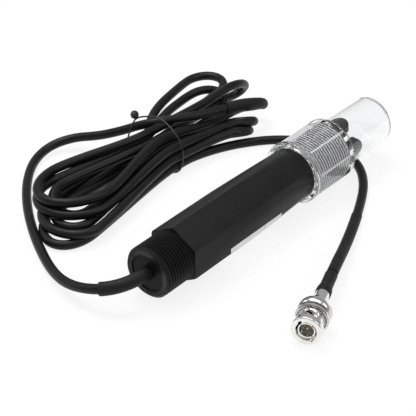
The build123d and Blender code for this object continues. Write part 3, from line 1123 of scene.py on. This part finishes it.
@dataclass(frozen=True)
class Lobe:
    """Open end of one wound turn: an oval bend from the strand that comes in to the one that goes out."""

    centre: Point
    side: Point
    reach: Point

    def points(self, count: int, over: float) -> list[Vector]:
        """Points round the bend.

        Args:
            count: How many points.
            over: How far the bend goes past a half turn at each end, in radians.

        Returns:
            Points from the side of the strand that comes in to the other side.
        """
        middle, side, reach = (Vector(item) for item in (self.centre, self.side, self.reach))
        sweep = math.pi + 2 * over
        angles = [sweep * step / (count - 1) - over for step in range(count)]
        return [middle + side * math.cos(angle) + reach * math.sin(angle) for angle in angles]


@dataclass(frozen=True)
class Turn:
    """One wound turn: its right end, back through the waist, its left end, and out through the waist."""

    right: Lobe
    back: tuple[float, float]
    left: Lobe
    out: tuple[float, float]
    before: tuple[Point, ...] = ()
    after: tuple[Point, ...] = ()


@dataclass
class Cable:
    """Coaxial cable: lead from the electrode, six wound turns through the tie, and the tail to the plug."""

    diameter: float = 5.0
    length_m: float = 2.55
    inlet: tuple[float, float] = (6.0, -6.0)
    outlet: tuple[float, float] = (-10.0, 15.0)
    lead: list[Point] = field(default_factory=lambda: [
        (-109.5, 6.0, 13.3), (-114.2, 17.5, 10.2), (-113.2, 32.5, 6.2), (-107.5, 47.5, 3.6),
        (-98.5, 64.0, 2.6), (-86.5, 83.0, 2.5), (-71.0, 103.0, 2.5), (-53.5, 120.5, 2.5),
        (-37.0, 131.5, 2.8), (-22.5, 133.5, 4.5), (-11.0, 126.5, 7.0), (-5.0, 114.5, 9.5),
        (2.0, 103.5, 13.5), (8.0, 93.5, 18.5), (14.0, 85.0, 21.0),
    ])
    tail: list[Point] = field(default_factory=lambda: [
        (20.0, 66.5, 3.2), (36.5, 62.5, 2.6), (50.5, 55.4, 2.5), (63.5, 45.6, 2.5), (73.0, 32.0, 2.5),
        (77.0, 16.5, 2.5), (75.5, 2.0, 2.5), (68.0, -10.5, 2.5), (55.0, -21.5, 2.5), (37.5, -31.0, 2.6),
        (17.5, -40.5, 3.3), (-4.0, -50.0, 5.2),
    ])
    waist: tuple[float, float] = (-7.0, 9.0)
    turns: list[Turn] = field(default_factory=lambda: [
        Turn(
            Lobe((69.2, 71.1, 12.6), (-6.2, -5.1, 5.4), (10.3, -6.1, -0.8)), (74.0, 19.0),
            Lobe((-52.0, 82.0, 15.2), (0.0, -19.0, 0.0), (-25.5, 0.5, 0.0)), (84.8, 18.4),
            before=((35.0, 73.6, 20.0),), after=((42.0, 72.5, 12.0),),
        ),
        Turn(
            Lobe((77.3, 87.5, 12.8), (-6.8, -5.5, 8.0), (12.0, -1.6, 0.0)), (79.4, 15.4),
            Lobe((-60.0, 78.0, 10.5), (3.0, 12.0, 2.6), (-14.0, 0.0, 0.0)), (74.0, 13.4),
            before=((45.0, 81.0, 20.0),),
        ),
        Turn(
            Lobe((57.0, 67.5, 7.9), (6.2, 5.2, -3.7), (9.0, -7.0, 0.0)), (67.8, 14.6),
            Lobe((-57.0, 79.0, 10.4), (-1.5, -19.2, -0.8), (-22.0, 3.0, 0.0)), (88.0, 13.6),
        ),
        Turn(
            Lobe((61.0, 95.4, 7.6), (-1.0, 8.0, 5.0), (15.5, -2.5, 2.8)), (83.0, 4.7),
            Lobe((-66.0, 72.0, 5.8), (2.0, 11.0, 0.3), (-12.0, 0.0, 0.0)), (74.0, 6.3),
            before=((32.0, 99.5, 12.0),),
        ),
        Turn(
            Lobe((49.0, 64.5, 6.4), (6.2, 5.2, -3.7), (9.0, -7.0, 0.0)), (66.2, 9.2),
            Lobe((-67.0, 71.5, 6.8), (-1.0, -19.3, 0.0), (-18.5, -2.0, 0.0)), (90.5, 8.8),
        ),
        Turn(
            Lobe((70.0, 102.5, 13.7), (1.0, 12.0, 0.0), (15.0, 0.0, 0.5)), (84.4, 9.8),
            Lobe((-67.0, 71.8, 2.6), (3.0, 16.6, 0.0), (-23.0, -3.5, 0.0)), (66.4, 3.8),
            before=((28.0, 104.5, 14.0),),
        ),
    ])
    bend_points: int = 7
    bend_over: float = 0.25
    facets: int = 5

    def hank(self) -> list[Vector]:
        """Lay out the wound turns, one after the other.

        Returns:
            Their points, in millimetres.
        """
        near, far = self.waist
        points: list[Vector] = []
        for turn in self.turns:
            points += [Vector(point) for point in turn.before]
            points += turn.right.points(self.bend_points, self.bend_over)
            points += [Vector(point) for point in turn.after]
            points += [Vector((far, *turn.back)), Vector((near, *turn.back))]
            points += turn.left.points(self.bend_points, self.bend_over)
            points += [Vector((near, *turn.out)), Vector((far, *turn.out))]
        return points

    def route(self, electrode: Matrix, plug: Matrix) -> list[Vector]:
        """Lay out the cable from end to end.

        Args:
            electrode: Place of the electrode.
            plug: Place of the plug.

        Returns:
            Its control points, in metres.
        """
        start = [electrode @ Vector((x, 0, 0)) for x in self.inlet]
        end = [plug @ Vector((x, 0, 0)) for x in self.outlet]
        return start + in_metres([*self.lead, *self.hank(), *self.tail]) + end

    def build(self, electrode: Matrix, plug: Matrix) -> tuple[bpy.types.Object, list[Vector]]:
        """Make the cable.

        Args:
            electrode: Place of the electrode.
            plug: Place of the plug.

        Returns:
            The cable and the points along its middle.
        """
        curve = new_curve("cable")
        add_smooth_spline(curve, self.route(electrode, plug))
        middle = points_along(curve)
        make_round(curve, self.diameter / 2, self.facets)
        nodes = ("cable_lead", "cable_hank", "cable_tail")
        return lay(curve, Slot.CABLE_JACKET, Body.ROOT, *nodes), middle


@dataclass
class Sleeve:
    """Shrink sleeve on the cable between two places along it."""

    name: str
    start: Point
    end: Point
    wall: float
    nodes: tuple[str, ...] = ()
    facets: int = 6

    def build(self, cable: Cable, middle: list[Vector]) -> bpy.types.Object:
        """Make the sleeve along the cable's middle.

        Args:
            cable: The cable.
            middle: Points along the cable's middle.

        Returns:
            The sleeve.
        """
        first, last = sorted(self._nearest(middle, place) for place in (self.start, self.end))
        curve = new_curve(self.name)
        spline = add_spline(curve, "POLY", middle[first:last + 1])
        spline.use_smooth = True
        make_round(curve, cable.diameter / 2 + self.wall, self.facets)
        return lay(curve, Slot.SHRINK_TUBE, Body.ROOT, *self.nodes)

    def _nearest(self, middle: list[Vector], place: Point) -> int:
        """Number of the point nearest to a place."""
        target = Vector(place) * MM
        return min(range(len(middle)), key=lambda index: (middle[index] - target).length)


@dataclass
class TwistTie:
    """Wire tie round the hank's waist, with its ends wound into a small knot at the back."""

    wire_d: float = 0.9
    loop: list[Point] = field(default_factory=lambda: [
        (2.2, 92.4, 25.8), (8.0, 88.0, 25.6), (10.6, 83.5, 25.4), (9.6, 77.5, 24.9), (7.6, 69.8, 22.8),
        (7.0, 64.8, 18.2), (6.6, 62.4, 12.4), (6.4, 62.7, 7.0), (4.8, 63.6, 1.4), (2.0, 68.0, 0.5),
        (-1.5, 78.0, 0.5), (-3.5, 88.5, 1.4), (-4.2, 93.8, 6.5), (-4.0, 93.2, 14.5), (-2.5, 91.6, 21.5),
    ])
    knot: Point = (2.0, 92.8, 27.4)
    knot_r: float = 1.9
    knot_turns: float = 9.0
    knot_steps: int = 108
    facets: int = 3

    def build(self) -> bpy.types.Object:
        """Make the tie and let it stand for its solid.

        Returns:
            The tie.
        """
        curve = new_curve("twist_tie")
        add_smooth_spline(curve, in_metres(self.loop), closed=True)
        add_smooth_spline(curve, in_metres(self._knot_points()))
        make_round(curve, self.wire_d / 2, self.facets)
        return lay(curve, Slot.TIE, Body.ROOT, "hank_tie")

    def _knot_points(self) -> list[Vector]:
        """Wind the wire over a small ball from its top to its foot.

        Returns:
            Points of the wire, in millimetres.
        """
        points = []
        for step in range(self.knot_steps + 1):
            share = step / self.knot_steps
            fall = math.pi * share
            angle = FULL_TURN * self.knot_turns * share
            radial = Vector((math.cos(angle), math.sin(angle), 0)) * math.sin(fall)
            points.append(Vector(self.knot) + (radial + Vector((0, 0, math.cos(fall)))) * self.knot_r)
        return points


@dataclass(frozen=True)
class Lamp:
    """Square soft box that faces the object, placed and sized in metres."""

    name: str
    place: Point
    size: float
    watts: float

    def build(self) -> None:
        """Hang the lamp and turn it to the object."""
        light = bpy.data.lights.new(self.name, "AREA")
        light.size = self.size
        light.energy = self.watts
        holder = bpy.data.objects.new(self.name, light)
        holder.location = self.place
        holder.rotation_euler = (-Vector(self.place)).to_track_quat("-Z", "Y").to_euler()
        bpy.context.scene.collection.objects.link(holder)


@dataclass
class Studio:
    """Floor, soft light, white surround and the camera of the picture."""

    eye: Point = (-491.91, -368.95, 392.91)
    aim: Point = (-32.19, 13.12, 16.73)
    focal_px: float = 1426.117
    near_m: float = 0.01
    floor_size: float = 3.0
    floor_greys: tuple[float, float] = (0.94, 0.97)
    floor_mottle_mm: float = 40.0
    floor_detail: float = 3.0
    shadow_share: float = 0.16
    ambient: float = 0.37
    lamps: tuple[Lamp, ...] = (
        Lamp("sky_lamp", (-0.15, -0.05, 1.35), size=1.5, watts=8.2),
        Lamp("key_lamp", (0.1, 0.5, 1.2), size=0.55, watts=7.0),
        Lamp("fill_lamp", (0.35, -0.95, 0.75), size=0.5, watts=2.6),
        Lamp("back_lamp", (-0.5, 1.0, 0.7), size=0.45, watts=1.6),
    )

    def build(self) -> None:
        """Set up the camera, the floor, the surround and the lamps."""
        self.camera()
        self.floor()
        self.world()
        for lamp in self.lamps:
            lamp.build()
        bpy.context.scene.view_settings.view_transform = "Standard"

    def camera(self) -> None:
        """Camera at the picture's place."""
        camera = bpy.data.cameras.new("camera")
        camera.sensor_width = SENSOR_MM
        camera.lens = self.focal_px / IMAGE_PX * SENSOR_MM
        camera.clip_start = self.near_m
        holder = bpy.data.objects.new("camera", camera)
        holder.location = Vector(self.eye) * MM
        holder.rotation_euler = (Vector(self.aim) - Vector(self.eye)).to_track_quat("-Z", "Y").to_euler()
        bpy.context.scene.collection.objects.link(holder)
        bpy.context.scene.camera = holder

    def seen_directly(self, shader: Shader) -> Socket:
        """Tell what the camera sees straight, in a mirror or through glass.

        Args:
            shader: The shader that asks.

        Returns:
            1 for such a ray, else 0.
        """
        camera = shader.node("ShaderNodeLightPath", output="Is Camera Ray")
        glossy = shader.node("ShaderNodeLightPath", output="Is Glossy Ray")
        clear = shader.node("ShaderNodeLightPath", output="Is Transmission Ray")
        return camera.larger(glossy).larger(clear)

    def floor(self) -> None:
        """Pale floor that looks white and keeps a soft shadow."""
        bm = bmesh.new()
        bmesh.ops.create_grid(bm, x_segments=1, y_segments=1, size=self.floor_size / 2)
        mesh = bpy.data.meshes.new("floor")
        bm.to_mesh(mesh)
        bm.free()
        material, shader = new_material("pale_floor")
        mottle = shader.noise(self.floor_mottle_mm, self.floor_detail)
        dark, pale = ((grey, grey, grey) for grey in self.floor_greys)
        paint = shader.node("ShaderNodeBsdfDiffuse", {}, {"Color": shader.mix(mottle, dark, pale)})
        white = shader.node("ShaderNodeEmission", {}, {"Color": WHITE, "Strength": 1.0})
        share = self.seen_directly(shader) * (1 - self.shadow_share)
        surface = shader.blend(share, paint, white)
        shader.node("ShaderNodeOutputMaterial", {}, {"Surface": surface})
        mesh.materials.append(material)
        floor = bpy.data.objects.new("floor", mesh)
        bpy.context.scene.collection.objects.link(floor)

    def world(self) -> None:
        """White surround that lights the object more softly than it shows."""
        world = bpy.data.worlds.new("surround")
        bpy.context.scene.world = world
        world.use_nodes = True
        shader = Shader(world.node_tree)
        camera = shader.node("ShaderNodeLightPath", output="Is Camera Ray")
        strength = self.ambient * (1 - camera) + camera
        light = shader.node("ShaderNodeBackground", {}, {"Color": WHITE, "Strength": strength})
        shader.node("ShaderNodeOutputWorld", {}, {"Surface": light})


def dress_nodes(frame: dict) -> None:
    """Give every solid its finish.

    Args:
        frame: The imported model.
    """
    slots = {slot.slot: slot for slot in Slot}
    for row in frame["record"]["subparts"]:
        node = frame["nodes"][row["node"]]
        material = slots[row["material_slot"]].material
        for holder in node.material_slots:
            holder.material = material
        if not node.material_slots:
            node.data.materials.append(material)


def main() -> None:
    """Build every sub-assembly round the frame."""
    logging.basicConfig(level=logging.INFO)
    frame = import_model()
    record = frame["record"]
    electrode = place_on_mount(record, "rear_thread", REAR_MOUNT_X, -1.0)
    plug = place_on_mount(record, "plug_front", PLUG_MOUNT_X, 1.0)
    dress_nodes(frame)
    Studio().build()
    cable = Cable()
    cord, middle = cable.build(electrode, plug)
    relief_start = electrode @ Vector((RELIEF_START_X, 0, 0)) / MM
    marker_end = plug @ Vector((MARKER_END_X, 0, 0)) / MM
    sleeves = [
        Sleeve("rear_relief", tuple(relief_start), (-111.8, 11.7, 11.8), wall=0.9, nodes=("strain_relief",)),
        Sleeve("tail_marker", (27.5, -35.8, 2.9), tuple(marker_end), wall=0.35, nodes=("marker_sleeve",)),
        Sleeve("hank_marker", (51.0, 69.8, 18.6), (79.5, 65.0, 11.8), wall=0.7),
    ]
    on_cable = [sleeve.build(cable, middle) for sleeve in sleeves]
    on_cable.append(TwistTie().build())
    Housing().build(frame, electrode)
    ScrewCap().build(electrode)
    on_cable.append(CouplingNut().build(frame, plug))
    on_cable.append(PlugBoot().build(plug))
    plug_nodes = (
        "crimp_ferrule", "plug_body", "outer_contact", "plug_insulator", "centre_pin", "plug_gasket",
        "spring_washer", "thrust_washer",
    )
    on_cable += [frame["nodes"][name] for name in plug_nodes]


if __name__ == "__main__":
    main()
